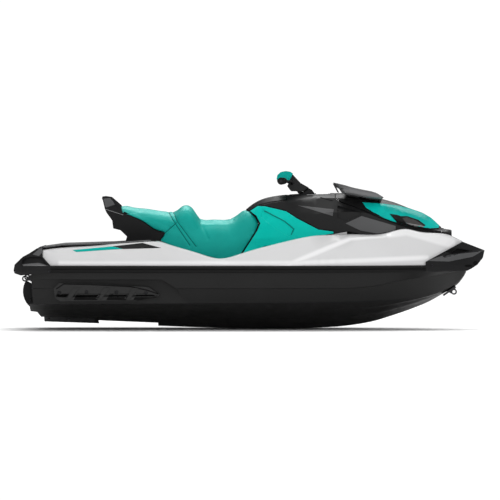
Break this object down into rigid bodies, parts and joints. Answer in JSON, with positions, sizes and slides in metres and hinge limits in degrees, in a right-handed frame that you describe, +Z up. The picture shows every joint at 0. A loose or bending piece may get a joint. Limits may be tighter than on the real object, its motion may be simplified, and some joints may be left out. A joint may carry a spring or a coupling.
{
  "type": "personal watercraft",
  "caption": "Three-seat personal watercraft with a V hull, jet pump, steering nozzle, reverse gate, stepped saddle seat, handlebar, lifting front hood and rear swim platform.",
  "frame": {"origin": "on the centre plane amidships at the height of the unladen waterline", "axes": "+X towards the bow, +Y to port, +Z up"},
  "size_m": [3.315, 1.2574, 1.1149],
  "materials": {
    "hull_dark": "moulded, semi-gloss charcoal",
    "deck_white": "glossy white gelcoat",
    "rail_rubber": "satin black",
    "trim_black": "grained black",
    "mat_foam": "grooved closed-cell foam",
    "seat_vinyl": "teal marine vinyl, fine grain",
    "console_grey": "satin dark grey",
    "panel_teal": "glossy teal",
    "bin_black": "plain black",
    "display_dark": "dark glossy screen",
    "vent_dark": "dark gloss",
    "mirror_face": "silvered",
    "bar_steel": "dark coated",
    "grip_rubber": "ribbed",
    "engine_metal": "plain",
    "pump_metal": "cast, matt",
    "gate_metal": "dark coated",
    "impeller_steel": "satin stainless"
  },
  "bodies": {
    "craft": {"hull": "hull_dark", "deck": "deck_white", "rubrail": "rail_rubber", "stern_cap": "trim_black", "bow_cap": "trim_black", "platform_mat": "mat_foam", "footwell_mats": "mat_foam", "seat": "seat_vinyl", "seat_base": "trim_black", "grab_handle": "trim_black", "console": "console_grey", "front_cowl": "console_grey", "knee_panels": "panel_teal", "glove_bin": "bin_black", "display": "display_dark", "storage_bin": "bin_black", "steering_shroud": "trim_black", "fuel_cap": "trim_black", "engine_block": "engine_metal", "pump_housing": "pump_metal", "ride_plate": "pump_metal", "intake_grate": "pump_metal", "sponsons": "trim_black", "stern_eyes": "impeller_steel", "bow_eye": "impeller_steel", "drain_plugs": "trim_black"},
    "steering": {"steering_neck": "console_grey", "handlebar": "bar_steel", "handlebar_pad": "panel_teal", "grips": "grip_rubber", "control_pods": "trim_black", "throttle_lever": "trim_black", "brake_lever": "trim_black"},
    "hood": {"hood_shell": "console_grey", "hood_panels": "panel_teal", "hood_vents": "vent_dark", "mirror_wing": "trim_black", "mirror_glass": "mirror_face"},
    "glove_lid_body": {"glove_lid": "console_grey"},
    "drive": {"impeller": "impeller_steel", "drive_shaft": "impeller_steel"},
    "steering_nozzle": {"nozzle": "pump_metal"},
    "gate": {"reverse_gate": "gate_metal"}
  },
  "joints": [
    {"name": "steering_turn", "type": "hinge", "parent": "craft", "child": "steering", "pos_m": [0.371, 0, 0.7], "axis": [-0.6157, 0, 0.788], "range_deg": [-25, 25]},
    {"name": "nozzle_turn", "type": "hinge", "parent": "craft", "child": "steering_nozzle", "pos_m": [-1.409, 0, -0.03], "axis": [0, 0, 1], "range_deg": [-20, 20]},
    {"name": "gate_swing", "type": "hinge", "parent": "craft", "child": "gate", "pos_m": [-1.454, 0, 0.023], "axis": [0, 1, 0], "range_deg": [-30, 45]},
    {"name": "impeller_spin", "type": "hinge", "parent": "craft", "child": "drive", "pos_m": [-1.159, 0, -0.03], "axis": [1, 0, 0], "continuous": true},
    {"name": "hood_lift", "type": "hinge", "parent": "craft", "child": "hood", "pos_m": [1.363, 0, 0.461], "axis": [0, 1, 0], "range_deg": [0, 60]},
    {"name": "glove_lid_lift", "type": "hinge", "parent": "craft", "child": "glove_lid_body", "pos_m": [0.269, 0, 0.696], "axis": [0, 1, 0], "range_deg": [0, 45]}
  ],
  "couplings": [
    {"joint": "nozzle_turn", "follows": "steering_turn", "ratio": -0.8}
  ]
}
